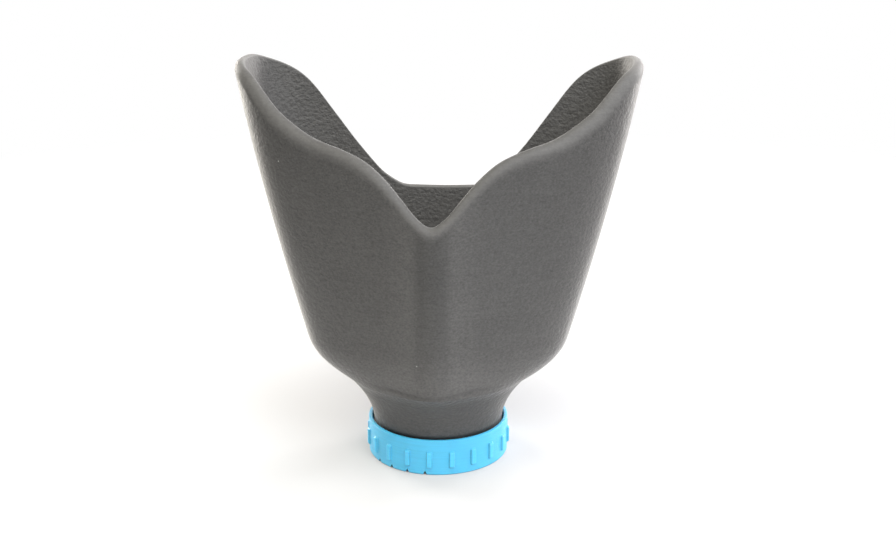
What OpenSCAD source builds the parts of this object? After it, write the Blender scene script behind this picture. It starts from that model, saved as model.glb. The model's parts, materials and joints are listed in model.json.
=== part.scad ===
// Face-fitting snoot: a printed light hood with a saddle-shaped rim, whose round neck
// carries a captive, ribbed lock ring.
//
// Frame: origin at the centre of the lock ring's bottom edge, +Z up through the neck
// towards the open rim, -Y towards the nose notch, +Y towards the brow side, +X to one wing.
// All lengths are millimetres. Angles round the hood are measured from +X towards +Y, so the
// nose ridge is at -90 and the middle of the brow side is at 90.

/* [Face hood] */
// Height of the wing tips above the lock ring's bottom edge
hood_h = 157.5; // [150:0.5:166]
// Distance from the hood's axis to a wing's outer face, at the tips
wing_half_w = 79.6; // [74:0.2:84]
// Distance from the hood's axis to its flank, at the belt above the shoulder
belt_half_w = 51.2; // [48:0.2:54]
// How far a flank bows out between the belt and the tip
flank_bow = 6.6; // [0:0.2:10]
// Distance from the axis to the nose ridge at the bottom of the notch
nose_depth = 40.5; // [38:0.5:44]
// Distance from the axis to the nose ridge at the neck crease
crease_nose_depth = 36.8; // [35:0.2:39]
// Distance from the axis to the brow wall, at the tips
brow_depth = 41.2; // [38:0.2:45]
// Distance from the axis to the brow wall, at the belt
belt_brow_depth = 34.6; // [33:0.2:37]
// Angle that each front face falls back from the nose ridge
sweep = 22.5; // [18:0.5:28]
// Wall thickness, measured level
wall_t = 4; // [3:0.2:4.6]

/* [Neck] */
// Outer radius of the neck where it enters the lock ring
neck_r = 26.1; // [25.8:0.1:26.3]
// Radius of the light opening through the neck
bore_r = 22.5; // [20:0.5:23]
// Radius of the turned seat that the lock ring runs on
spigot_r = 25; // [24.5:0.1:25.2]

/* [Lock ring] */
// Outer radius of the lock ring, without its ribs
ring_r = 28.4; // [28:0.1:29]
// Height of the lock ring
ring_h = 14.6; // [13.5:0.1:16]
// Number of grip ribs
rib_count = 20; // [12:1:24]
// Width of a grip rib
rib_w = 2.4; // [1.6:0.1:3]
// How far a grip rib stands proud
rib_proud = 0.9; // [0.5:0.1:1.2]
// Angle that the ring turns between open and locked
lock_turn = 45; // [30:1:50]

/* [Quality] */
// Points round the hood, a multiple of four
hood_points = 72; // [48:4:80]
// Facets on a full circle
$fn = 96; // [48:8:144]

/* [Hidden] */

// Hood: levels
crease_z = 34.5;          // where the neck's flare meets the body
belt_z = 44;              // level at which the belt sizes are stated
shoulder_z = 50;          // where the rounded shoulder has run out
notch_z = 104;            // level at which nose_depth is stated
tip_z = 156;              // level at which the wing and brow sizes are stated
flare_z = 11.3;           // where the neck starts to flare
joint_z = 11.5;           // where the flared shell meets the turned neck
base_hood_h = 157.5;      // rim stations below are stated for this height

// Hood: shape of the level outline
ridge_power = 18;         // higher is a sharper nose ridge
corner_power = 5.5;       // higher is a squarer flank and brow
crease_power = 3.3;       // the same, at the crease, where the outline is rounder
crease_half_w = 38.8;     // half width of the outline at the crease
crease_step = 0.4;        // how far the ridge is set back at the crease
crease_brow_step = 2;     // how far the brow wall is set back at the crease
flare_power = 2.14;       // higher keeps the neck straight for longer
shoulder_power = 2.25;    // higher turns the shoulder faster
inner_lift = 2;           // the inner face follows the outer one this much higher up
lip_out_h = 3;            // height in which the lip's outer side rounds over
lip_in_h = 0.9;           // height in which its inner side does
lip_crest = 0.6;          // where its top lies, from 0 outside to 1 inside

// Rim height at stations round the hood: [angle, height]
rim_stations = [
    [-90, 103.1],         // bottom of the nose notch
    [-83, 105.7],
    [-73, 112.7],         // flank of the notch
    [-62, 120.1],
    [-50, 126],           // top of the cheek shoulder
    [-38, 129.5],
    [-26, 132.6],         // hollow between cheek and wing
    [-14, 140.7],
    [-3, 154.6],          // front of the wing
    [8, 157.4],           // wing tip
    [18, 157.5],
    [26, 154.3],          // back of the wing tip
    [32, 148.7],          // corner above the brow slope
    [38, 134.8],
    [46, 119.3],          // brow slope
    [57, 106.7],
    [68, 102.4],          // foot of the brow slope
    [90, 102.1]           // middle of the brow side
];

// Hood: mesh rows
low_rows = [joint_z, 14, 17, 20, 23, 26, 29, 32, crease_z, 37, 40, 43, 46, shoulder_z];
high_row_count = 9;       // rows between the shoulder and the lip
lip_steps = 6;            // steps across the lip
lip_out_steps = 4;        // of which this many on the outer side

// Neck and lock ring: levels
neck_end_z = 3.4;         // bottom face of the neck
collar_z0 = 6.4;          // bottom of the ring's bearing collar
collar_z1 = 9.4;          // top of the ring's bearing collar
washer_t = 0.6;
washer_gap = 0.05;        // play between collar, washer and neck shoulder
seat_z = collar_z1 + washer_t + 2 * washer_gap;  // neck shoulder that stops the ring
groove_z0 = 5;
groove_z1 = collar_z0;
groove_r = 23.7;
stub_h = 2;               // turned neck stands this far up inside the shell's wall
stub_inset = 1.1;

// Ring: details
running_gap = 0.05;       // radial clearance between spigot and collar
collar_r = spigot_r + running_gap;
sleeve_r = ring_r - 1.5;  // inner radius of the thin sleeve above the collar
socket_r = ring_r - 1.8;  // inner radius of the socket below the collar
edge_break = 0.35;
rib_z0 = 3.1;             // bottom of a rib
rib_len = 7.3;
rib_start = -93.8;        // angle of the first rib
notch_count = 4;
notch_pitch = 15;
notch_start = -142.3;     // angle of the first index notch
notch_w = 1.5;
notch_h = 1.5;
lug_count = 3;
lug_angle = 36;
lug_r = socket_r - 1.3;
lug_z = 0.9;
lug_t = 2;

// Stop key on the neck, and the pocket it runs in
key_angle = 8;
key_play = 0.5;           // angle left at each end of the travel
key_r = spigot_r + 1;
pocket_r = key_r + 0.2;
key_start = 60;           // angle of the key's leading side

// Snap ring and seal
snap_r = socket_r - 0.4;
snap_clear = 0.05;
snap_gap_angle = 40;
seal_in_r = bore_r + 0.3;
seal_out_r = spigot_r - 0.4;
seal_t = 1.5;
overlap = 0.4;            // how far joined solids run into each other

function lerp(a, b, t) = a + (b - a) * t;

// ---- smooth curve through stations: a monotone cubic, so it never overshoots ----
function chord(s, i) = (s[i + 1][1] - s[i][1]) / (s[i + 1][0] - s[i][0]);
function station_slope(s, i) =
    (i == 0 || i == len(s) - 1) ? 0 :
    let(a = chord(s, i - 1), b = chord(s, i))
    a * b <= 0 ? 0 : 2 * a * b / (a + b);
function span_at(s, x, i = 0) =
    (i == len(s) - 2 || x <= s[i + 1][0]) ? i : span_at(s, x, i + 1);
function curve_at(s, x) =
    let(
        i = span_at(s, x),
        h = s[i + 1][0] - s[i][0],
        t = (x - s[i][0]) / h,
        rise = s[i + 1][1] - s[i][1],
        m0 = h * station_slope(s, i),
        m1 = h * station_slope(s, i + 1)
    )
    s[i][1] + m0 * t + (3 * rise - 2 * m0 - m1) * t * t + (m0 + m1 - 2 * rise) * t * t * t;

// Folds an angle from the -X half of the hood onto the +X half, which it mirrors
function folded(a) = a > 90 ? 180 - a : a < -90 ? -180 - a : a;
function rim_z(a) = curve_at(rim_stations, folded(a)) * hood_h / base_hood_h;

// ---- level outline: a rounded polygon of two front faces, two flanks and a brow wall ----
function outline_r(a, nose, side, brow, power) =
    let(
        face_d = nose * cos(sweep) * pow(2, 1 / ridge_power),
        face_1 = max(0, cos(a) * sin(sweep) - sin(a) * cos(sweep)) / face_d,
        face_2 = max(0, -cos(a) * sin(sweep) - sin(a) * cos(sweep)) / face_d,
        front = pow(pow(face_1, ridge_power) + pow(face_2, ridge_power), 1 / ridge_power),
        flank = abs(cos(a)) / side,
        rear = max(0, sin(a)) / brow
    )
    pow(pow(front, power) + pow(flank, power) + pow(rear, power), -1 / power);

function nose_at(z) =
    lerp(crease_nose_depth, nose_depth, (z - crease_z) / (notch_z - crease_z));
function side_at(z) =
    let(u = (z - belt_z) / (tip_z - belt_z))
    lerp(belt_half_w, wing_half_w, u) + flank_bow * u * (1 - u);
function brow_at(z) = lerp(belt_brow_depth, brow_depth, (z - belt_z) / (tip_z - belt_z));
function body_r(a, z, inset) =
    outline_r(a, nose_at(z) - inset, side_at(z) - inset, brow_at(z) - inset, corner_power);
function crease_r(a, inset) =
    outline_r(
        a,
        nose_at(crease_z) - crease_step - inset,
        crease_half_w - inset,
        brow_at(crease_z) - crease_brow_step - inset,
        crease_power
    );

// Radius of the wall: the neck flares up to the crease, then a rounded shoulder runs out
// into the body. inset is 0 for the outer face.
function wall_r(a, z, throat_r, inset) =
    z < crease_z
    ? let(t = max(0, (z - flare_z) / (crease_z - flare_z)))
      lerp(throat_r, crease_r(a, inset), pow(t, flare_power))
    : let(
          t = min(1, (z - crease_z) / (shoulder_z - crease_z)),
          step = body_r(a, crease_z, inset) - crease_r(a, inset)
      )
      body_r(a, z, inset) - step * pow(1 - t, shoulder_power);
function outer_r(a, z) = wall_r(a, z, neck_r, 0);
function inner_r(a, z) = wall_r(a, max(joint_z, z - inner_lift), bore_r, wall_t);

// ---- rows of the hood's mesh: up the outer face, over the lip, down the inner face ----
function row_z(k, a, lip_h) =
    k < len(low_rows)
    ? low_rows[k]
    : lerp(shoulder_z, rim_z(a) - lip_h, (k - len(low_rows) + 1) / high_row_count);
wall_rows = len(low_rows) + high_row_count;
hood_rows = 2 * wall_rows + lip_steps - 1;

function level_point(a, r, z) = [r * cos(a), r * sin(a), z];
function lip_point(a, step) =
    let(
        top = rim_z(a),
        out = outer_r(a, top - lip_out_h),
        in = inner_r(a, top - lip_in_h),
        crest = lerp(out, in, lip_crest),
        outside = step <= lip_out_steps,
        side = outside ? out : in,
        h = outside ? lip_out_h : lip_in_h,
        turn = outside
            ? 90 * step / lip_out_steps
            : 90 * (lip_steps - step) / (lip_steps - lip_out_steps)
    )
    level_point(a, lerp(crest, side, cos(turn)), top - h + h * sin(turn));
function hood_point(k, a) =
    k < wall_rows ? let(z = row_z(k, a, lip_out_h)) level_point(a, outer_r(a, z), z) :
    k < wall_rows + lip_steps - 1 ? lip_point(a, k - wall_rows + 1) :
    let(z = row_z(hood_rows - 1 - k, a, lip_in_h))
    level_point(a, inner_r(a, z), z);

module hood_shell() {
    n = hood_points;
    points = [
        for (k = [0 : hood_rows - 1])
        for (i = [0 : n - 1])
        hood_point(k, -90 + 360 * i / n)
    ];
    faces = [
        for (k = [0 : hood_rows - 1])
        for (i = [0 : n - 1])
        let(
            up = ((k + 1) % hood_rows) * n,
            here = k * n,
            next = (i + 1) % n
        )
        each [
            [here + i, up + i, up + next],
            [here + i, up + next, here + next]
        ]
    ];
    polyhedron(points = points, faces = faces, convexity = 8);
}

// A ring sector between two radii and two levels
module sector(r0, r1, z0, z1, start, angle) {
    rotate([0, 0, start])
        rotate_extrude(angle = angle)
            translate([r0, z0])
                square([r1 - r0, z1 - z0]);
}

// Turned part of the neck: seat for the lock ring, groove for the snap ring
module turned_neck() {
    rotate_extrude()
        polygon([
            [bore_r, neck_end_z],
            [spigot_r, neck_end_z],
            [spigot_r, groove_z0],
            [groove_r, groove_z0],
            [groove_r, groove_z1],
            [spigot_r, groove_z1],
            [spigot_r, seat_z],
            [neck_r, seat_z],
            [neck_r, joint_z],
            [neck_r - stub_inset, joint_z],
            [neck_r - stub_inset, joint_z + stub_h],
            [bore_r + stub_inset, joint_z + stub_h],
            [bore_r + stub_inset, joint_z],
            [bore_r, joint_z]
        ]);
}

module stop_key() {
    sector(spigot_r - overlap, key_r, collar_z0 + running_gap, collar_z1, key_start, key_angle);
}

module hood() {
    color("dimgray") {
        union() {
            hood_shell();
            turned_neck();
            stop_key();
        }
    }
}

module ring_body() {
    rotate_extrude()
        polygon([
            [socket_r + edge_break, 0],
            [ring_r - edge_break, 0],
            [ring_r, edge_break],
            [ring_r, ring_h - edge_break],
            [ring_r - edge_break, ring_h],
            [sleeve_r + edge_break, ring_h],
            [sleeve_r, ring_h - edge_break],
            [sleeve_r, collar_z1],
            [collar_r, collar_z1],
            [collar_r, collar_z0],
            [socket_r, collar_z0],
            [socket_r, edge_break]
        ]);
}

// Grip rib: a bar with round ends, standing on the ring's outer face
module grip_rib() {
    depth = rib_proud + overlap;
    end_r = rib_w / 2;
    translate([ring_r - overlap, -end_r, rib_z0 + end_r])
        cube([depth, rib_w, rib_len - rib_w]);
    for (z = [rib_z0 + end_r, rib_z0 + rib_len - end_r])
        translate([ring_r - overlap, 0, z])
            rotate([0, 90, 0])
                cylinder(r = end_r, h = depth, $fn = 24);
}

// V-shaped index notch, cut up into the bottom edge
module index_notch() {
    depth = ring_r - socket_r + 2 * overlap;
    translate([ring_r + overlap, 0, 0])
        rotate([0, -90, 0])
            linear_extrude(depth)
                polygon([[-overlap, -notch_w], [notch_h, 0], [-overlap, notch_w]]);
}

module lock_ring() {
    color("deepskyblue") {
        difference() {
            union() {
                ring_body();
                for (i = [0 : rib_count - 1])
                    rotate([0, 0, rib_start + 360 * i / rib_count])
                        grip_rib();
                for (i = [0 : lug_count - 1])
                    sector(lug_r, socket_r + overlap, lug_z, lug_z + lug_t,
                        360 * i / lug_count, lug_angle);
            }
            for (i = [0 : notch_count - 1])
                rotate([0, 0, notch_start + notch_pitch * i])
                    index_notch();
            sector(spigot_r - overlap, pocket_r, collar_z0 - overlap, collar_z1 + overlap,
                key_start - lock_turn - key_play, key_angle + lock_turn + 2 * key_play);
        }
    }
}

module slip_washer() {
    color("gainsboro")
        rotate_extrude()
            translate([collar_r, collar_z1 + washer_gap])
                square([sleeve_r - 0.25 - collar_r, washer_t]);
}

// Split ring that snaps into the neck's groove and holds the lock ring up
module snap_ring() {
    color("silver")
        sector(groove_r + snap_clear, snap_r, groove_z0 + snap_clear, groove_z1 - snap_clear,
            90 + snap_gap_angle / 2, 360 - snap_gap_angle);
}

// Soft ring on the neck's end face, squeezed light-tight by whatever the hood locks onto
module light_seal() {
    color("black")
        rotate_extrude()
            translate([seal_in_r, neck_end_z - seal_t])
                square([seal_out_r - seal_in_r, seal_t]);
}

hood();
lock_ring();
slip_washer();
snap_ring();
light_seal();
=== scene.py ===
import json
import math

import bpy
import numpy as np
from mathutils import Matrix, Vector


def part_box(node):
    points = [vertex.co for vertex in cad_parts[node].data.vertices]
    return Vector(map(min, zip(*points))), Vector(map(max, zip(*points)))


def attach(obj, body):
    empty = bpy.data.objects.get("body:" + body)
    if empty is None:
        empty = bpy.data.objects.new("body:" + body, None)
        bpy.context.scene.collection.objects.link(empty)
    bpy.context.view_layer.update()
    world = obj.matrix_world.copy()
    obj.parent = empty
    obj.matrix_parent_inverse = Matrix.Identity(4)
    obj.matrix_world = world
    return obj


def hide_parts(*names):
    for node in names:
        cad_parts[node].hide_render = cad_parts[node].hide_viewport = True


# Looks for the face-fitting snoot. The two printed parts and the soft seal are rebuilt here as
# fine meshes from the same rules as the CAD; the washer and the snap ring keep their CAD shape.
# Shapes are worked out in millimetres and scaled to metres in ring_grid. Angles go about +Z from
# +X, so the nose ridge is at -90 degrees and the middle of the brow at 90. Materials and the
# studio are in metres.

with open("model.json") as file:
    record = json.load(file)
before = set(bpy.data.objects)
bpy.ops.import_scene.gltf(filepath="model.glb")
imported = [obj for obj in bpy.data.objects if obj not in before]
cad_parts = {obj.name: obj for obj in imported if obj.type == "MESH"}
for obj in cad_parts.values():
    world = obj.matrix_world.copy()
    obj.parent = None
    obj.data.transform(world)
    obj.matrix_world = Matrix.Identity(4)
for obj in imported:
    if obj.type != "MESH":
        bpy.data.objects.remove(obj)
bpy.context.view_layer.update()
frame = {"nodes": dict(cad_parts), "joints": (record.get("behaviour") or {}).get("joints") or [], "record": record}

MM = 0.001
TURN = 360.0


def box_mm(node):
    """Lowest and highest corner of a CAD node, in millimetres."""
    low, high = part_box(node)
    return np.array(low) / MM, np.array(high) / MM


def mount(name):
    """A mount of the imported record, by name."""
    return next(m for m in frame["record"]["mounts"] if m["name"] == name)


# ---------------------------------------------------------------- sizes, from the frame
HOOD_HIGH = box_mm("hood")[1]
RING_HIGH = box_mm("lock_ring")[1]
WASHER_LOW, WASHER_HIGH = box_mm("slip_washer")
SNAP_LOW, SNAP_HIGH = box_mm("snap_ring")
SEAL_LOW, SEAL_HIGH = box_mm("light_seal")
BORE_R = mount("neck_bore")["dims"]["r_mm"]

# ---------------------------------------------------------------- hood: driving shape
HOOD_H = HOOD_HIGH[2]
WING_HALF_W = 79.6        # axis to a wing's outer face, at the tips
BELT_HALF_W = 51.2        # axis to a flank, at the belt
FLANK_BOW = 6.6           # how far a flank bows out between the two
NOSE_DEPTH = 40.5         # axis to the ridge, at the notch
CREASE_NOSE_DEPTH = 36.8  # axis to the ridge, at the crease
BROW_DEPTH = 41.2         # axis to the brow wall, at the tips
BELT_BROW_DEPTH = 34.6    # axis to the brow wall, at the belt
SWEEP = math.radians(22.5)
WALL_T = 4.0
RIDGE_HALF = 5.6          # half the width of the flat on the nose ridge
LIP_OUT_H = 3.0           # height in which the lip's outer side rounds over
LIP_IN_H = 0.9            # and its inner side
LIP_CREST = 0.6           # where its top lies, from 0 outside to 1 inside
NECK_R = 26.1
SPIGOT_R = 25.0           # the turned neck inside the ring

CREASE_Z = 34.5
BELT_Z = 44.0
SHOULDER_Z = 50.0
NOTCH_Z = 104.0
TIP_Z = 156.0
FLARE_Z = 11.3            # where the neck begins to flare
JOINT_Z = 11.5            # where the outer wall begins, above the ring's seat
BASE_HOOD_H = 157.5       # the rim heights below are stated for this height

RIDGE_POWER = 18.0        # the higher, the tighter the corner, for the first three
CORNER_POWER = 5.5
CREASE_POWER = 3.3
FLARE_POWER = 2.14        # the higher, the later the neck flares
SHOULDER_POWER = 2.25     # the higher, the sooner the shoulder runs into the body
CREASE_HALF_W = 38.8
CREASE_STEP = 0.4         # how far the crease lies inside the body's own line, in front
CREASE_BROW_STEP = 2.0    # and at the brow
CREASE_GROOVE = 0.3       # depth of the groove along the crease
INNER_LIFT = 2.0          # how much higher the inner wall takes the outer wall's shape

# Rim height round the hood: (angle, height), from the nose ridge to the middle of the brow
RIM_STATIONS = (
    (-90, 103.1), (-83, 105.7), (-73, 112.7), (-62, 120.1), (-50, 126.0), (-38, 129.5),
    (-26, 132.6), (-14, 140.7), (-3, 154.6), (8, 157.4), (18, 157.5), (26, 154.3),
    (32, 148.7), (38, 134.8), (46, 119.3), (57, 106.7), (68, 102.4), (90, 102.1),
)

# ---------------------------------------------------------------- hood: painted light and shade on the print
# Each is painted light or painted shade, measured against a plain wall
LIP_PAINTED_LIGHT = (1.6, 2.0)     # painted light on the lip, in front and from the wing tips back
# Painted light on the inner walls
INSIDE_PAINTED_LIGHT = 1.14
# Painted shade on the nose ridge
RIDGE_PAINTED_SHADE = 0.81
BESIDE_PAINTED_LIGHT = 1.22        # painted light on the faces next to the ridge
# Painted light on the shoulder
SHOULDER_PAINTED_LIGHT = 1.28
NECK_PAINTED_SHADE = (0.87, 0.72)  # painted shade on the neck, in front and at the sides
CREASE_PAINTED_SHADE = 0.76        # painted shade on the line along the crease
GAP_PAINTED_SHADE = 0.2            # painted shade on the neck where it goes down into the ring

NECK_MATT = 0.8           # how dull the neck is, from 0 for a wall to 1 for the lip

# Strength of the pebbled skin
WALL_SKIN = 0.7
INSIDE_SKIN = 0.53
BROW_SKIN = 1.2           # inside the brow wall
LIP_SKIN = 0.15

# ---------------------------------------------------------------- neck and ring details
CLEAR = 0.05              # gap between parts that run on each other
NECK_END_Z = SEAL_HIGH[2]
COLLAR_Z0 = SNAP_HIGH[2] + CLEAR
COLLAR_Z1 = WASHER_LOW[2] - CLEAR
SEAT_Z = WASHER_HIGH[2] + CLEAR
GROOVE_Z0 = SNAP_LOW[2] - CLEAR
GROOVE_R = 23.7
NECK_CHAMFER = 0.3
SEAT_CHAMFER = 0.15
KEY_R = SPIGOT_R + 1.0    # the stop key
KEY_START = 60.0          # this and all angles of the ring are in degrees
KEY_ANGLE = 8.0
KEY_PLAY = 0.5            # degrees that the pocket leaves free past each limit
LOCK_TURN = frame["joints"][0]["range_deg"][1]

RING_R = 28.4
RING_H = RING_HIGH[2]
RING_EDGE = 0.35          # how far the ring's edges round over
SLEEVE_R = RING_R - 1.5
SOCKET_R = RING_R - 1.8
COLLAR_R = SPIGOT_R + CLEAR
POCKET_R = KEY_R + 0.2
RIB_COUNT = 20
RIB_W = 2.4
RIB_PROUD = 0.9
RIB_CROWN = 0.5           # share of a rib's half width that rounds over
RIB_Z0 = 3.1
RIB_LEN = 6.8
RIB_CORNER = 0.7          # corner radius
RIB_START = -93.8         # middle of a rib
NOTCH_COUNT = 4
NOTCH_PITCH = 15.0
NOTCH_START = -142.3      # middle of the first notch
NOTCH_W = 1.5
NOTCH_H = 1.5
LUG_COUNT = 3
LUG_ANGLE = 36.0
LUG_R = SOCKET_R - 1.3
LUG_Z0 = 0.9
LUG_Z1 = 2.9

# Painted light and shade on the ring, against its plain band
FLANK_PAINTED_SHADE = 0.77         # painted shade on the ribs' flanks
CROWN_PAINTED_LIGHT = 1.11         # painted light on the ribs' tops
NOTCH_PAINTED_SHADOW = 0.1          # painted shadow on the bottom edge inside a notch
EDGE_PAINTED_SHADOW = 0.6           # painted shadow on the bottom edge elsewhere


# ---------------------------------------------------------------- small maths
def lerp(a, b, t):
    return a + (b - a) * t


def ramp(value, zero, one):
    """0 where value is at zero, 1 where it is at one, straight between and held beyond."""
    return np.clip((value - zero) / (one - zero), 0, 1)


def angle_gap(a, b):
    """Smallest difference between two angles in degrees."""
    return (a - b + TURN / 2) % TURN - TURN / 2


def span_mask(deg, start, angle, fade):
    """1 from start over an angle, falling to 0 just inside its ends. All in degrees."""
    half = angle / 2
    return np.clip((half - np.abs(angle_gap(deg, start + half))) / fade, 0, 1)


def monotone_curve(stations, x):
    """Monotone cubic through stations, level at both ends."""
    s = np.array(stations, float)
    chord = np.diff(s[:, 1]) / np.diff(s[:, 0])
    slope = np.zeros(len(s))
    left, right = chord[:-1], chord[1:]
    same_way = left * right > 0
    slope[1:-1][same_way] = 2 * (left * right)[same_way] / (left + right)[same_way]
    i = np.clip(np.searchsorted(s[:, 0], x) - 1, 0, len(s) - 2)
    h = s[i + 1, 0] - s[i, 0]
    t = (x - s[i, 0]) / h
    rise = s[i + 1, 1] - s[i, 1]
    m0, m1 = h * slope[i], h * slope[i + 1]
    return s[i, 1] + m0 * t + (3 * rise - 2 * m0 - m1) * t**2 + (m0 + m1 - 2 * rise) * t**3


# ---------------------------------------------------------------- hood: level outlines
def outline_r(a, nose, side, brow, power):
    """Radius at angle a (radians) of two front faces, two flanks and a brow wall, rounded."""
    face_d = nose * math.cos(SWEEP) * 2 ** (1 / RIDGE_POWER)
    x, y = np.cos(a), np.sin(a)
    face_1 = np.maximum(0, x * math.sin(SWEEP) - y * math.cos(SWEEP)) / face_d
    face_2 = np.maximum(0, -x * math.sin(SWEEP) - y * math.cos(SWEEP)) / face_d
    front = (face_1**RIDGE_POWER + face_2**RIDGE_POWER) ** (1 / RIDGE_POWER)
    flank = np.abs(x) / side
    rear = np.maximum(0, y) / brow
    return (front**power + flank**power + rear**power) ** (-1 / power)


def nose_at(z):
    """Distance from the axis to the nose ridge at a height."""
    return lerp(CREASE_NOSE_DEPTH, NOSE_DEPTH, (z - CREASE_Z) / (NOTCH_Z - CREASE_Z))


def side_at(z):
    """Distance from the axis to a flank at a height."""
    u = (z - BELT_Z) / (TIP_Z - BELT_Z)
    return lerp(BELT_HALF_W, WING_HALF_W, u) + FLANK_BOW * u * (1 - u)


def brow_at(z):
    """Distance from the axis to the brow wall at a height."""
    return lerp(BELT_BROW_DEPTH, BROW_DEPTH, (z - BELT_Z) / (TIP_Z - BELT_Z))


def body_r(a, z, inset):
    """Radius of the body above the shoulder, inset from its outer face."""
    return outline_r(a, nose_at(z) - inset, side_at(z) - inset, brow_at(z) - inset, CORNER_POWER)


def crease_r(a, inset):
    """Radius along the crease, where the neck meets the body."""
    nose = nose_at(CREASE_Z) - CREASE_STEP - inset
    brow = brow_at(CREASE_Z) - CREASE_BROW_STEP - inset
    return outline_r(a, nose, CREASE_HALF_W - inset, brow, CREASE_POWER)


def wall_r(a, z, throat_r, inset):
    """The neck flares up to the crease, then a rounded shoulder runs out into the body."""
    t = ramp(z, FLARE_Z, CREASE_Z)
    flare = lerp(throat_r, crease_r(a, inset), t**FLARE_POWER)
    s = ramp(z, CREASE_Z, SHOULDER_Z)
    step = body_r(a, CREASE_Z, inset) - crease_r(a, inset)
    body = body_r(a, z, inset) - step * (1 - s) ** SHOULDER_POWER
    return np.where(z < CREASE_Z, flare, body)


def outer_r(a, z):
    """Radius of the outer wall at angle a (radians) and height z."""
    return wall_r(a, z, NECK_R, 0.0)


def inner_r(a, z):
    """Radius of the inner wall. It follows the outer one a wall's thickness in and a little
    higher, and ends in the bore."""
    return wall_r(a, np.maximum(JOINT_Z, z - INNER_LIFT), BORE_R, WALL_T)


def rim_height(a):
    """Rim height at angle a (radians), eased so that no station shows as a kink."""
    ease = math.radians(2.2)
    offsets = np.linspace(-1.5, 1.5, 13)
    weights = np.exp(-offsets**2)
    total = 0.0
    for offset, weight in zip(offsets, weights):
        deg = angle_gap(np.degrees(a + offset * ease), 0)
        # The left half mirrors the right
        deg = np.where(deg > 90, 180 - deg, np.where(deg < -90, -180 - deg, deg))
        total = total + weight * monotone_curve(RIM_STATIONS, deg)
    return total / weights.sum() * HOOD_H / BASE_HOOD_H


# ---------------------------------------------------------------- meshes from rows of rings
def ring_grid(name, rows):
    """Closed mesh of rings joined row to row, and the last row to the first. rows is
    (row, angle, xyz) in millimetres."""
    m, n = rows.shape[:2]
    here = np.arange(m * n).reshape(m, n)
    above = np.roll(here, -1, axis=0)
    corners = [here, np.roll(here, -1, axis=1), np.roll(above, -1, axis=1), above]
    quads = np.stack(corners, axis=-1).reshape(-1, 4)
    mesh = bpy.data.meshes.new(name)
    mesh.from_pydata((rows.reshape(-1, 3) * MM).tolist(), [], quads.tolist())
    mesh.update()
    obj = bpy.data.objects.new(name, mesh)
    bpy.context.scene.collection.objects.link(obj)
    return obj


def polar(r, a, z):
    """Rows from radius, angle (radians) and height, broadcast together."""
    r, a, z = np.broadcast_arrays(r, a, z)
    return np.stack([r * np.cos(a), r * np.sin(a), z], axis=-1)


def shade(obj, sharp_deg):
    """Smooth shading that keeps edges sharper than an angle."""
    obj.data.shade_smooth()
    obj.data.set_sharp_from_angle(angle=math.radians(sharp_deg))


def keep_on_mesh(obj, name, values):
    """Stores one number for each vertex, which the object's material reads by name."""
    attribute = obj.data.attributes.new(name, "FLOAT", "POINT")
    attribute.data.foreach_set("value", values.astype(np.float32).ravel())


def stand_for(obj, node, body, material):
    """A finished piece takes a CAD node's place and rides on its body."""
    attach(obj, body)
    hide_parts(node)
    obj.data.materials.append(material)


def rounded_profile(corners, radius, steps=3):
    """Closed (r, z) profile with each corner turned through a small arc-like curve."""
    room = 2.2  # a side is at least this many times as long as the cut at either end
    pts = np.array(corners, float)
    out = []
    for i, p in enumerate(pts):
        before, after = pts[i - 1] - p, pts[(i + 1) % len(pts)] - p
        cut = min(radius, np.linalg.norm(before) / room, np.linalg.norm(after) / room)
        a = p + before / np.linalg.norm(before) * cut
        b = p + after / np.linalg.norm(after) * cut
        for k in range(steps + 1):
            t = k / steps
            out.append((1 - t) ** 2 * a + 2 * t * (1 - t) * p + t**2 * b)
    return np.array(out)


def lathe(name, corners, radius, points=360):
    """Solid of revolution with softened corners."""
    profile = rounded_profile(corners, radius)
    a = np.linspace(0, 2 * math.pi, points, endpoint=False)[None, :]
    return ring_grid(name, polar(profile[:, :1], a, profile[:, 1:]))


# ---------------------------------------------------------------- hood
def even_angles(count):
    """Angles whose points lie nearly evenly along the hood's outline, from the nose ridge on."""
    outline_z, samples = 110.0, 7201
    equal_share = 0.25  # how far the angles are drawn back towards equal steps
    fine = np.linspace(-math.pi / 2, 1.5 * math.pi, samples)
    r = outer_r(fine, outline_z)
    steps = np.hypot(np.diff(r * np.cos(fine)), np.diff(r * np.sin(fine)))
    length = np.concatenate([[0], np.cumsum(steps)])
    equal = (fine + math.pi / 2) / (2 * math.pi)
    blend = lerp(length / length[-1], equal, equal_share)
    return np.interp(np.arange(count) / count, blend, fine)


def crease_line(a, z):
    """1 on the soft groove that runs along the crease across the front, 0 away from it."""
    half_w = 1.0
    lift, climb, climb_to = 0.7, 0.07, 30  # mm above the crease, mm a degree, degrees
    aside = np.abs(angle_gap(np.degrees(a), -90))
    front = ramp(aside, 48, 28)  # it fades out between these angles from the ridge
    middle = CREASE_Z + lift + climb * np.minimum(aside, climb_to)
    return front * np.exp(-(((z - middle) / half_w) ** 2))


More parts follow.
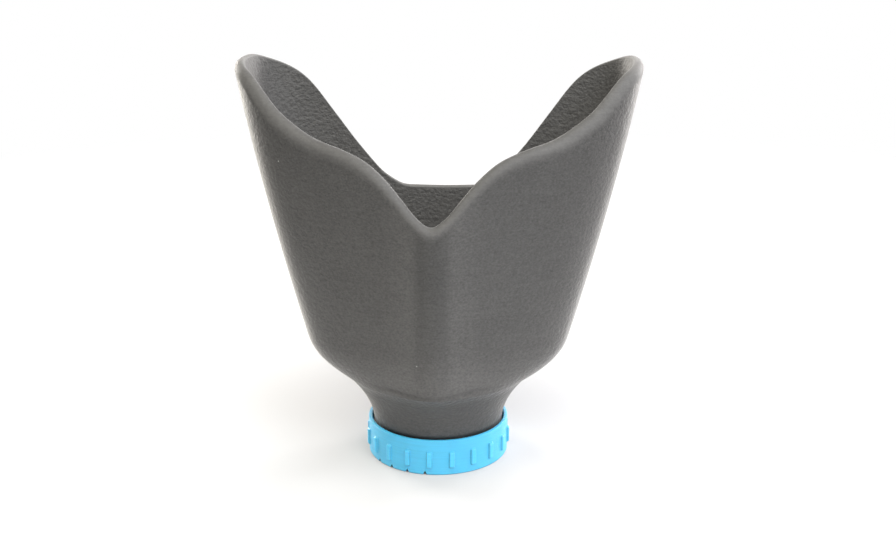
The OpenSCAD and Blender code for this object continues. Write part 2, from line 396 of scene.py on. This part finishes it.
def hood_painted_light_and_shade(rows, lip, inside):
    """Painted light and shade on the print, 1 on plain walls. Each gain fades in between two places, in mm."""
    x, y, z = np.moveaxis(rows, -1, 0)
    aside = np.abs(x)
    outside = 1 - inside
    front = outside * (y < 0) * ramp(z, CREASE_Z, CREASE_Z + 8) * (1 - lip)

    tone = lerp(1.0, lerp(*LIP_PAINTED_LIGHT, ramp(y, -15, 5)), lip)
    tone *= lerp(1.0, INSIDE_PAINTED_LIGHT, inside)

    ridge = ramp(z, CREASE_Z + 8, CREASE_Z + 36) * ramp(aside, RIDGE_HALF + 1.1, RIDGE_HALF - 1.5)
    tone *= lerp(1.0, RIDGE_PAINTED_SHADE, front * ridge)

    beside = ramp(aside, RIDGE_HALF - 0.5, RIDGE_HALF + 3.5) * ramp(aside, 20, 8)
    tone *= lerp(1.0, BESIDE_PAINTED_LIGHT, front * beside)

    shoulder = ramp(np.abs(z - CREASE_Z - 6), 12, 0) * (z > CREASE_Z)
    tone *= lerp(1.0, SHOULDER_PAINTED_LIGHT, outside * shoulder)

    neck_painted_shade = lerp(*NECK_PAINTED_SHADE, aside / np.hypot(x, y))
    tone *= lerp(1.0, neck_painted_shade, outside * ramp(z, CREASE_Z, CREASE_Z - 0.8))

    tone *= lerp(1.0, CREASE_PAINTED_SHADE, outside * crease_line(np.arctan2(y, x), z))
    tone *= lerp(1.0, GAP_PAINTED_SHADE, outside * ramp(z, RING_H + 1.5, RING_H + 0.4))
    return tone


def turned_neck(a):
    """Corners (r, z) of the turned neck, up its outside: chamfer, groove, stop key and seat."""
    end_fade = 0.8  # degrees in which the key's ends rise
    step = 0.05  # height in which the key begins and ends
    key = lerp(SPIGOT_R, KEY_R, span_mask(np.degrees(a), KEY_START, KEY_ANGLE, end_fade))
    return [
        (BORE_R + NECK_CHAMFER, NECK_END_Z),
        (SPIGOT_R - NECK_CHAMFER, NECK_END_Z),
        (SPIGOT_R, NECK_END_Z + NECK_CHAMFER),
        (SPIGOT_R, GROOVE_Z0),
        (GROOVE_R, GROOVE_Z0),
        (GROOVE_R, COLLAR_Z0),
        (SPIGOT_R, COLLAR_Z0),
        (SPIGOT_R, COLLAR_Z0 + step),
        (key, COLLAR_Z0 + 2 * step),
        (key, COLLAR_Z1 - step),
        (SPIGOT_R, COLLAR_Z1),
        (SPIGOT_R, SEAT_Z),
        (NECK_R - SEAT_CHAMFER, SEAT_Z),
        (NECK_R, SEAT_Z + SEAT_CHAMFER),
    ]


def low_levels(a):
    """Heights of the rows from the neck to the shoulder's end, closer together at the crease."""
    coarse, fine = 0.9, 0.3
    fine_from, fine_to = CREASE_Z - 2.4, CREASE_Z + 4.6
    heights = np.concatenate([
        np.arange(JOINT_Z, fine_from, coarse),
        np.arange(fine_from, fine_to, fine),
        np.arange(fine_to + fine, SHOULDER_Z, coarse),
        [SHOULDER_Z],
    ])
    return [np.full_like(a, z) for z in heights]


def hood_rows(a):
    """All rows of the hood, and how many of them come before the inner wall: turned neck,
    outer wall, lip, inner wall and bore."""
    wall_steps, lip_out_steps, lip_in_steps = 95, 13, 6
    steepest = 1.2  # slope of the rim past which the lip gets no taller
    bore_top = JOINT_Z - 2.5

    top = rim_height(a)
    slope = np.gradient(top, a) / outer_r(a, top)
    tilt = np.sqrt(1 + np.clip(slope, -steepest, steepest) ** 2)
    out_top, in_top = top - LIP_OUT_H * tilt, top - LIP_IN_H * tilt
    low = low_levels(a)
    rise = np.linspace(0, 1, wall_steps + 1)[1:]

    rows = [polar(r, a, z) for r, z in turned_neck(a)]
    rows += [polar(outer_r(a, z) - CREASE_GROOVE * crease_line(a, z), a, z) for z in low]
    rows += [polar(outer_r(a, z), a, z) for z in (lerp(SHOULDER_Z, out_top, t) for t in rise)]

    out_r, in_r = outer_r(a, out_top), inner_r(a, in_top)
    crest = lerp(out_r, in_r, LIP_CREST)
    for turn in np.radians(np.linspace(0, 90, lip_out_steps + 1)[1:]):
        r = lerp(crest, out_r, math.cos(turn))
        rows.append(polar(r, a, lerp(out_top, top, math.sin(turn))))
    for turn in np.radians(np.linspace(90, 0, lip_in_steps + 1)[1:-1]):
        r = lerp(crest, in_r, math.cos(turn))
        rows.append(polar(r, a, lerp(in_top, top, math.sin(turn))))
    lip_end = len(rows)

    inner = low + [lerp(SHOULDER_Z, in_top, t) for t in rise]
    rows += [polar(inner_r(a, z), a, z) for z in inner[::-1]]
    rows += [polar(BORE_R, a, z) for z in (bore_top, NECK_END_Z + NECK_CHAMFER)]
    return np.stack(rows), lip_end


def build_hood():
    """The printed hood, with its lip, dullness, skin and painted light and shade stored on the mesh."""
    points = 560
    a = even_angles(points)
    rows, lip_end = hood_rows(a)
    y, z = rows[..., 1], rows[..., 2]
    hood = ring_grid("hood_shell", rows)
    shade(hood, sharp_deg=38)

    inside = np.zeros(rows.shape[:2])
    inside[lip_end:] = 1.0
    # The lip gets a smoother, duller skin and painted light, and fades into the wall below its outer edge
    lip = ramp(z - rim_height(a), -5.5, -2.5) * (1 - inside)
    neck = NECK_MATT * ramp(z, CREASE_Z, CREASE_Z - 4)
    # The skin is pebbled, most of all inside the brow wall, and rubbed smooth on the lip
    skin = lerp(lerp(WALL_SKIN, INSIDE_SKIN, inside), BROW_SKIN, inside * ramp(y, 15, 30))

    keep_on_mesh(hood, "lip", lip)
    keep_on_mesh(hood, "matt", np.maximum(np.maximum(lip, inside), neck))
    keep_on_mesh(hood, "skin", lerp(skin, LIP_SKIN, lip))
    keep_on_mesh(hood, "tone", hood_painted_light_and_shade(rows, lip, inside))
    stand_for(hood, "hood", "hood", printed_grey())


# ---------------------------------------------------------------- lock ring
def rib_height(deg, z):
    """How far the ring's outer face stands out at an angle and height: grip ribs with rounded
    corners and soft edges."""
    pitch = TURN / RIB_COUNT
    across = np.radians(angle_gap((deg - RIB_START + pitch / 2) % pitch, pitch / 2)) * RING_R
    past_x = np.abs(across) - RIB_W / 2 + RIB_CORNER
    past_z = np.abs(z - RIB_Z0 - RIB_LEN / 2) - RIB_LEN / 2 + RIB_CORNER
    at_corner = np.hypot(np.maximum(past_x, 0), np.maximum(past_z, 0))
    outside = at_corner + np.minimum(np.maximum(past_x, past_z), 0)
    inward = np.clip((RIB_CORNER - outside) / (RIB_W / 2), 0, 1)
    return RIB_PROUD * np.sqrt(1 - (1 - np.clip(inward / RIB_CROWN, 0, 1)) ** 2)


def notch_rise(deg):
    """How far the ring's bottom edge is cut up at an angle, by the V-shaped index notches."""
    rise = np.zeros_like(deg)
    for i in range(NOTCH_COUNT):
        across = np.abs(np.radians(angle_gap(deg, NOTCH_START + NOTCH_PITCH * i))) * RING_R
        rise = np.maximum(rise, NOTCH_H * (1 - across / (NOTCH_W / 2)))
    return np.maximum(rise, 0)


def ring_rows(a):
    """All rows of the lock ring: ribbed band, sleeve, collar with its pocket, and lugs."""
    deg = np.degrees(a)
    row_step = 0.24
    pocket_fade, lug_fade = 0.25, 0.3  # degrees in which their ends rise
    step = 0.02  # half the height in which a lug's face begins and ends
    top, edge = RING_H - RING_EDGE, RING_EDGE
    soft = 0.3 * edge  # the point halfway round an edge
    heights = np.concatenate([np.arange(edge, top, row_step), [top]])
    pocket_start = KEY_START - LOCK_TURN - KEY_PLAY
    pocket_angle = KEY_ANGLE + LOCK_TURN + 2 * KEY_PLAY
    pocket = span_mask(deg, pocket_start, pocket_angle, pocket_fade)
    collar = lerp(COLLAR_R, POCKET_R, pocket)
    lug_starts = [TURN * i / LUG_COUNT for i in range(LUG_COUNT)]
    lug = sum(span_mask(deg, start, LUG_ANGLE, lug_fade) for start in lug_starts)
    lug_face = lerp(SOCKET_R, LUG_R, lug)

    profile = [(RING_R - edge, 0.0), (RING_R - soft, soft)]
    profile += [(RING_R + rib_height(deg, z), z) for z in heights]
    profile += [
        (RING_R - soft, RING_H - soft),
        (RING_R - edge, RING_H),
        (SLEEVE_R + edge, RING_H),
        (SLEEVE_R + soft, RING_H - soft),
        (SLEEVE_R, top),
        (SLEEVE_R, COLLAR_Z1),
        (collar, COLLAR_Z1),
        (collar, COLLAR_Z0),
        (SOCKET_R, COLLAR_Z0),
        (SOCKET_R, LUG_Z1 + step),
        (lug_face, LUG_Z1 - step),
        (lug_face, LUG_Z0 + step),
        (SOCKET_R, LUG_Z0 - step),
        (SOCKET_R, edge),
        (SOCKET_R + edge, 0.0),
    ]
    # The notches lift the bottom edge, and the lift dies out over twice their height
    rise = notch_rise(deg)
    reach = 2 * NOTCH_H
    lifted = [(r, z + rise * np.clip(1 - z / reach, 0, 1)) for r, z in profile]
    return np.stack([polar(r, a, z) for r, z in lifted])


def build_lock_ring():
    """The printed ring, with painted light and shade on its ribs and bottom edge stored on the mesh."""
    per_rib = 80
    a = np.linspace(-math.pi, math.pi, RIB_COUNT * per_rib, endpoint=False)
    rows = ring_rows(a)
    ring = ring_grid("lock_ring_body", rows)
    shade(ring, sharp_deg=40)

    proud = ramp(np.hypot(rows[..., 0], rows[..., 1]), RING_R, RING_R + RIB_PROUD)
    # Painted shade on the ribs' flanks and painted light on their tops
    tone = lerp(1.0, FLANK_PAINTED_SHADE, 4 * proud * (1 - proud)) * lerp(1.0, CROWN_PAINTED_LIGHT, proud)
    # Painted shadow along the bottom edge, darkest in the notches
    edge_painted_shadow = lerp(EDGE_PAINTED_SHADOW, NOTCH_PAINTED_SHADOW, ramp(notch_rise(np.degrees(a)), 0, NOTCH_H / 4))
    edge_rows = {-1: 1.0, 0: 1.0, 1: 1.0, 2: 0.5}  # rows along the edge, and their share of it
    for row, share in edge_rows.items():
        tone[row] *= lerp(1.0, edge_painted_shadow, share)
    keep_on_mesh(ring, "tone", tone)
    stand_for(ring, "lock_ring", "lock_ring", printed_blue())


# ---------------------------------------------------------------- soft seal
def build_seal():
    """Moulded ring with a raised bead on the face that gets squeezed."""
    top, tip = SEAL_HIGH[2], SEAL_LOW[2]
    face, bead_foot = tip + 0.5, tip + 0.45  # the bead stands down from the face to the tip
    outer, inner = SEAL_HIGH[0], BORE_R + 0.3
    middle = (outer + inner) / 2
    bead_half_w = 0.35
    corners = [
        (outer, top),
        (outer, face),
        (middle + bead_half_w, bead_foot),
        (middle, tip),
        (middle - bead_half_w, bead_foot),
        (inner, face),
        (inner, top),
    ]
    seal = lathe("light_seal_ring", corners, radius=0.25)
    shade(seal, sharp_deg=60)
    stand_for(seal, "light_seal", "hood", seal_rubber())


# ---------------------------------------------------------------- node-based materials
GREY = (0.087, 0.0845, 0.0825)
BLUE = (0.1, 0.6, 0.95)
LAYER = 0.2 * MM          # height of a printed layer


def rgb(r, g, b):
    """A colour as Blender's sockets take it."""
    return (r, g, b, 1.0)


class Nodes:
    """Short calls for building a shader's node tree."""

    def __init__(self, name):
        self.material = bpy.data.materials.new(name)
        self.material.use_nodes = True
        self.tree = self.material.node_tree
        self.shader = self.tree.nodes["Principled BSDF"]

    def add(self, kind, **values):
        node = self.tree.nodes.new(kind)
        for key, value in values.items():
            setattr(node, key, value)
        return node

    def feed(self, node, index, value):
        """Links a socket to an input, or sets the input to a plain value."""
        if isinstance(value, bpy.types.NodeSocket):
            self.tree.links.new(value, node.inputs[index])
        else:
            node.inputs[index].default_value = value

    def set(self, **inputs):
        """Feeds the shader's inputs, named with _ for a space."""
        for name, value in inputs.items():
            self.feed(self.shader, name.replace("_", " "), value)

    def math(self, operation, a, b=0.0):
        node = self.add("ShaderNodeMath", operation=operation)
        self.feed(node, 0, a)
        self.feed(node, 1, b)
        return node.outputs[0]

    def total(self, first, *others):
        for other in others:
            first = self.math("ADD", first, other)
        return first

    def object_point(self, scale=(1, 1, 1)):
        coords = self.add("ShaderNodeTexCoord")
        mapping = self.add("ShaderNodeMapping")
        self.feed(mapping, "Vector", coords.outputs["Object"])
        self.feed(mapping, "Scale", scale)
        return mapping.outputs[0]

    def noise(self, scale, detail=2.0, roughness=0.5, stretch=(1, 1, 1)):
        """Noise of a scale per metre. A stretch under 1 draws it out along that axis."""
        node = self.add("ShaderNodeTexNoise")
        self.feed(node, "Vector", self.object_point(stretch))
        self.feed(node, "Scale", scale)
        self.feed(node, "Detail", detail)
        self.feed(node, "Roughness", roughness)
        return node.outputs["Fac"]

    def remap(self, value, from_low, from_high, to_low=0.0, to_high=1.0, smooth=False):
        node = self.add("ShaderNodeMapRange")
        if smooth:
            node.interpolation_type = "SMOOTHSTEP"
        for index, number in enumerate((value, from_low, from_high, to_low, to_high)):
            self.feed(node, index, number)
        return node.outputs[0]

    def swing(self, noise, low, high):
        """A noise's usual range, spread from low to high."""
        return self.remap(noise, 0.3, 0.7, low, high)

    def mix(self, factor, a, b):
        node = self.add("ShaderNodeMix", data_type="RGBA")
        self.feed(node, 0, factor)
        self.feed(node, 6, a)
        self.feed(node, 7, b)
        return node.outputs[2]

    def scaled(self, colour, factor):
        node = self.add("ShaderNodeVectorMath", operation="SCALE")
        self.feed(node, 0, colour)
        self.feed(node, "Scale", factor)
        return node.outputs[0]

    def distance_from(self, place):
        node = self.add("ShaderNodeVectorMath", operation="DISTANCE")
        self.feed(node, 0, self.object_point())
        self.feed(node, 1, place)
        return node.outputs["Value"]

    def bump(self, height, distance, strength, normal=None):
        node = self.add("ShaderNodeBump")
        self.feed(node, "Strength", strength)
        self.feed(node, "Distance", distance)
        self.feed(node, "Height", height)
        if normal is not None:
            self.feed(node, "Normal", normal)
        return node.outputs[0]

    def attribute(self, name):
        return self.add("ShaderNodeAttribute", attribute_name=name).outputs["Fac"]

    def ray(self, kind):
        """1 for one kind of light ray, such as Is Camera Ray, and 0 for the others."""
        return self.add("ShaderNodeLightPath").outputs[kind]

    def axis(self, vector, index):
        split = self.add("ShaderNodeSeparateXYZ")
        self.feed(split, 0, vector)
        return split.outputs[index]

    def layer_lines(self):
        """Sine of height, one wave to each printed layer, so it spreads out on flat tops."""
        z = self.axis(self.object_point(), 2)
        return self.math("SINE", self.math("MULTIPLY", z, 2 * math.pi / LAYER))

    def flatness(self):
        """0 on upright walls, 1 on level ones."""
        geometry = self.add("ShaderNodeNewGeometry")
        return self.math("ABSOLUTE", self.axis(geometry.outputs["Normal"], 2))

    def specks(self, per_metre, share, size):
        """Sparse dots: a share of the cells of a coarse pattern holds one."""
        cells = self.add("ShaderNodeTexVoronoi")
        self.feed(cells, "Vector", self.object_point())
        self.feed(cells, "Scale", per_metre)
        chosen = self.math("LESS_THAN", self.axis(cells.outputs["Color"], 0), share)
        near = self.math("LESS_THAN", cells.outputs["Distance"], size)
        return self.math("MULTIPLY", chosen, near)


def printed_grey():
    """Dark print filament: fine level layer lines, a pebbled skin and a few pale specks. The mesh says where it is
    lip, matt and pebbled, and where painted light and shade make it lighter or darker."""
    n = Nodes("printed_grey")
    lip, matt, skin = n.attribute("lip"), n.attribute("matt"), n.attribute("skin")
    streaks = n.noise(1500.0, detail=1.0, stretch=(0.02, 0.02, 1.0))
    seams = n.noise(260.0, stretch=(0.004, 0.004, 1.0))
    blotches = n.noise(60.0, detail=3.0)
    grain = n.noise(1150.0, roughness=0.6, stretch=(1.0, 1.0, 1.4))
    pebbles = n.noise(620.0, stretch=(1.0, 1.0, 1.2))

    grain_share = n.remap(lip, 0.0, 1.0, 1.0, 0.4)
    tone = n.total(
        n.swing(streaks, -0.04, 0.04),
        n.swing(blotches, -0.05, 0.05),
        n.math("MULTIPLY", n.swing(grain, -0.25, 0.25), grain_share),
        n.swing(pebbles, -0.08, 0.08),
        n.remap(seams, 0.22, 0.34, -0.08, 0.0),
        1.0,
    )
    # The mesh's tone holds painted light and shade
    plain_grey = n.scaled(GREY, n.math("MULTIPLY", tone, n.attribute("tone")))
    speck = n.specks(per_metre=170.0, share=0.05, size=0.055)
    n.set(Base_Color=n.mix(speck, plain_grey, rgb(0.4, 0.4, 0.39)))

    # The layer lines fade on the walls and open out on level tops
    flat = n.remap(n.flatness(), 0.25, 0.75, 0.05, 1.0)
    relief = n.bump(n.math("MULTIPLY", n.layer_lines(), flat), 0.012 * MM, 0.8)
    relief = n.bump(streaks, 0.05 * MM, 0.5, relief)
    relief = n.bump(grain, 0.05 * MM, 0.6, relief)
    n.set(Normal=n.bump(pebbles, 0.45 * MM, skin, relief))

    n.set(Roughness=n.total(n.swing(grain, 0.36, 0.46), n.math("MULTIPLY", matt, 0.22)))
    n.set(Specular_IOR_Level=0.7)
    # The layer lines spread a highlight up and down, and keep it narrow sideways
    round_axis = n.add("ShaderNodeTangent", direction_type="RADIAL", axis="Z")
    n.set(Tangent=round_axis.outputs[0])
    n.set(Anisotropic=n.remap(matt, 0.0, 1.0, 0.7, 0.0), Anisotropic_Rotation=0.25)
    # The fuzz of a printed skin lights up where it is seen edge on
    n.set(Sheen_Weight=n.remap(matt, 0.0, 1.0, 0.5, 0.2), Sheen_Roughness=0.35)
    n.set(Sheen_Tint=rgb(1.0, 0.97, 0.94))
    return n.material


def printed_blue():
    """Bright print filament: layer lines, streaks and a fine grain."""
    n = Nodes("printed_blue")
    streaks = n.noise(1700.0, detail=1.0, stretch=(0.03, 0.03, 1.0))
    grain = n.noise(1100.0, roughness=0.6)
    blotches = n.noise(130.0)
    tone = n.total(n.swing(streaks, 0.97, 1.03), n.swing(blotches, -0.03, 0.03))
    # The mesh's tone holds painted light and shade on the ribs and bottom edge
    plain_blue = n.scaled(BLUE, n.math("MULTIPLY", tone, n.attribute("tone")))
    # The light that the ring throws on to the table and the neck is nearly grey
    thrown = n.math("MULTIPLY", n.ray("Is Diffuse Ray"), 0.75)
    n.set(Base_Color=n.mix(thrown, plain_blue, rgb(0.5, 0.5, 0.5)))

    relief = n.bump(n.layer_lines(), 0.008 * MM, 0.6)
    relief = n.bump(streaks, 0.05 * MM, 0.25, relief)
    n.set(Normal=n.bump(grain, 0.06 * MM, 0.5, relief))
    n.set(Roughness=n.swing(grain, 0.34, 0.46), Specular_IOR_Level=0.6)
    n.set(Subsurface_Weight=0.12, Subsurface_Scale=1.2 * MM)
    return n.material


def washer_plastic():
    """Milky plastic with a faint mottling."""
    n = Nodes("washer_plastic")
    mottling = n.noise(300.0, detail=3.0)
    mottled = n.remap(mottling, 0.35, 0.65)
    n.set(Base_Color=n.mix(mottled, rgb(0.78, 0.76, 0.7), rgb(0.86, 0.85, 0.8)))
    n.set(Normal=n.bump(mottling, 0.03 * MM, 0.5), Roughness=n.swing(mottling, 0.3, 0.42))
    return n.material


def spring_steel():
    """Drawn steel: a lay of fine lines up and down, and a few darker stains."""
    n = Nodes("spring_steel")
    lay = n.noise(4000.0, stretch=(1.0, 1.0, 0.05))
    stain = n.noise(220.0, detail=3.0)
    stained = n.remap(stain, 0.4, 0.7)
    n.set(Base_Color=n.mix(stained, rgb(0.46, 0.46, 0.48), rgb(0.3, 0.29, 0.28)))
    n.set(Normal=n.bump(lay, 0.01 * MM, 0.6), Roughness=n.swing(stain, 0.28, 0.45))
    n.set(Metallic=1.0)
    return n.material


def seal_rubber():
    """Black rubber with a pale bloom."""
    n = Nodes("seal_rubber")
    bloom = n.noise(500.0, detail=3.0)
    bloomed = n.remap(bloom, 0.4, 0.7)
    n.set(Base_Color=n.mix(bloomed, rgb(0.012, 0.012, 0.013), rgb(0.03, 0.03, 0.031)))
    n.set(Normal=n.bump(n.noise(2500.0), 0.03 * MM, 0.5), Roughness=n.swing(bloom, 0.6, 0.8))
    n.set(Sheen_Weight=0.2)
    return n.material


def finish_cad_node(node, material):
    """A CAD node that stays gets a fine material and broken edges."""
    obj = frame["nodes"][node]
    obj.data.materials.clear()
    obj.data.materials.append(material)
    bevel = obj.modifiers.new("broken edges", "BEVEL")
    bevel.width = 0.08 * MM
    bevel.segments = 2
    bevel.limit_method = "ANGLE"
    bevel.angle_limit = math.radians(50)


# ---------------------------------------------------------------- studio
FLOOR_HALF = 6.0                  # metres, as everything in this section
TABLE_EDGE = (0.16, 0.4)          # the pale table gives out between these distances
WASH_OUT = (0.25, 0.7)            # and in the picture it washes out to white between these
PAINTED_SHADE_CENTRE = (-0.005, 0.04, 0.0)  # the camera sees the table painted darker near this point and lighter away from it
PAINTED_FLOOR_LIGHTNESS = (0.03, 0.12, 0.89, 1.12)  # two distances from it, and the painted lightness at each

LIT_POINT = Vector((0, 0, 0.08))  # the middle of the object
BOX_DISTANCE = 1.2
BOX_SIZE = 0.6
SKY_LIGHT = 0.11                  # strength of the surround as a light
SKY_SEEN = 1.05                   # and as the camera sees it


def floor_material():
    """Pale matt table top. Past its edge the light sees the dark room, and the camera sees
    plain white."""
    n = Nodes("floor")
    seen = n.ray("Is Camera Ray")
    away = n.distance_from((0, 0, 0))

    mottling = n.noise(6.0)
    paper = n.mix(mottling, rgb(0.68, 0.685, 0.7), rgb(0.7, 0.705, 0.72))
    # For the camera only, the table gets painted shadow near the hood and painted light away from it
    painted_lightness = n.remap(n.distance_from(PAINTED_SHADE_CENTRE), *PAINTED_FLOOR_LIGHTNESS, smooth=True)
    painted_lightness_seen = n.total(1.0, n.math("MULTIPLY", seen, n.math("SUBTRACT", painted_lightness, 1.0)))
    paper = n.scaled(paper, painted_lightness_seen)
    past_edge = n.remap(away, *TABLE_EDGE, smooth=True)
    room_share = n.math("MULTIPLY", past_edge, n.math("SUBTRACT", 1.0, seen))
    n.set(Base_Color=n.mix(room_share, paper, rgb(0.12, 0.12, 0.12)))
    n.set(Roughness=0.6, Specular_IOR_Level=0.1)

    white = n.add("ShaderNodeEmission")
    washed = n.remap(away, *WASH_OUT, smooth=True)
    blend = n.add("ShaderNodeMixShader")
    n.feed(blend, 0, n.math("MULTIPLY", washed, seen))
    n.feed(blend, 1, n.shader.outputs[0])
    n.feed(blend, 2, white.outputs[0])
    n.feed(n.tree.nodes["Material Output"], "Surface", blend.outputs[0])
    return n.material


def build_floor():
    """The table top, as one square."""
    half = FLOOR_HALF
    mesh = bpy.data.meshes.new("floor")
    corners = [(-half, -half, 0), (half, -half, 0), (half, half, 0), (-half, half, 0)]
    mesh.from_pydata(corners, [], [(0, 1, 2, 3)])
    floor = bpy.data.objects.new("floor", mesh)
    bpy.context.scene.collection.objects.link(floor)
    floor.data.materials.append(floor_material())


def soft_box(name, position, power, colour):
    """A square area light that faces the object."""
    light = bpy.data.lights.new(name, "AREA")
    light.shape = "RECTANGLE"
    light.size = BOX_SIZE
    light.size_y = BOX_SIZE
    light.energy = power
    light.color = colour
    obj = bpy.data.objects.new(name, light)
    bpy.context.scene.collection.objects.link(obj)
    obj.location = position
    obj.rotation_euler = (LIT_POINT - obj.location).to_track_quat("-Z", "Y").to_euler()


def build_lights():
    """Soft boxes round the table: azimuth from the front towards the right, height angle,
    power and colour."""
    boxes = {
        "front": (-8, 40, 4.2, (1.0, 0.985, 0.935)),
        "front_right": (35, 40, 6.4, (0.945, 0.97, 1.0)),
        "right": (70, 42, 4.4, (0.94, 0.965, 1.0)),
        "right_low": (100, 15, 3.9, (1.0, 0.97, 0.97)),
        "back_right_low": (138, 12, 11.0, (1.0, 0.97, 0.95)),
        "back_right": (150, 40, 4.0, (1.0, 0.97, 0.97)),
        "back": (180, 15, 3.5, (1.0, 1.0, 1.0)),
        "back_left_low": (-135, 12, 16.0, (1.0, 0.96, 0.9)),
        "left_high": (-50, 60, 4.5, (1.0, 0.95, 0.77)),
    }
    for name, (azimuth, height, power, colour) in boxes.items():
        a, h = math.radians(azimuth), math.radians(height)
        way = Vector((math.sin(a) * math.cos(h), -math.cos(a) * math.cos(h), math.sin(h)))
        soft_box(name, LIT_POINT + way * BOX_DISTANCE, power, colour)


def build_sky():
    """Even white surround, which the camera sees much brighter than it lights."""
    world = bpy.data.worlds.new("studio")
    bpy.context.scene.world = world
    world.use_nodes = True
    tree = world.node_tree
    background = tree.nodes["Background"]
    background.inputs["Color"].default_value = rgb(1.0, 1.0, 1.0)
    path = tree.nodes.new("ShaderNodeLightPath")
    level = tree.nodes.new("ShaderNodeMapRange")
    tree.links.new(path.outputs["Is Camera Ray"], level.inputs["Value"])
    level.inputs["To Min"].default_value = SKY_LIGHT
    level.inputs["To Max"].default_value = SKY_SEEN
    tree.links.new(level.outputs[0], background.inputs["Strength"])


def build_camera():
    """50 mm lens, a little to the right of the nose ridge, looking down at the hood."""
    distance = 0.4722
    height = 0.2207
    side = math.radians(3.45)
    roll = math.radians(-0.15)
    target = Vector((0.0042, 0.0, 0.0737))
    data = bpy.data.cameras.new("camera")
    data.lens = 50.0
    data.sensor_width = 36.0
    data.clip_start = 0.01
    camera = bpy.data.objects.new("camera", data)
    bpy.context.scene.collection.objects.link(camera)
    camera.location = (distance * math.sin(side), -distance * math.cos(side), height)
    look = (target - camera.location).to_track_quat("-Z", "Y").to_matrix().to_4x4()
    level_view = Matrix.Translation(camera.location) @ look
    camera.matrix_world = level_view @ Matrix.Rotation(roll, 4, "Z")
    bpy.context.scene.camera = camera


def set_view():
    """Colours as they are, with no film look."""
    view = bpy.context.scene.view_settings
    view.view_transform = "Standard"
    view.look = "None"


# ---------------------------------------------------------------- the scene
build_hood()
build_lock_ring()
build_seal()
finish_cad_node("slip_washer", washer_plastic())
finish_cad_node("snap_ring", spring_steel())

build_floor()
build_lights()
build_sky()
build_camera()
set_view()
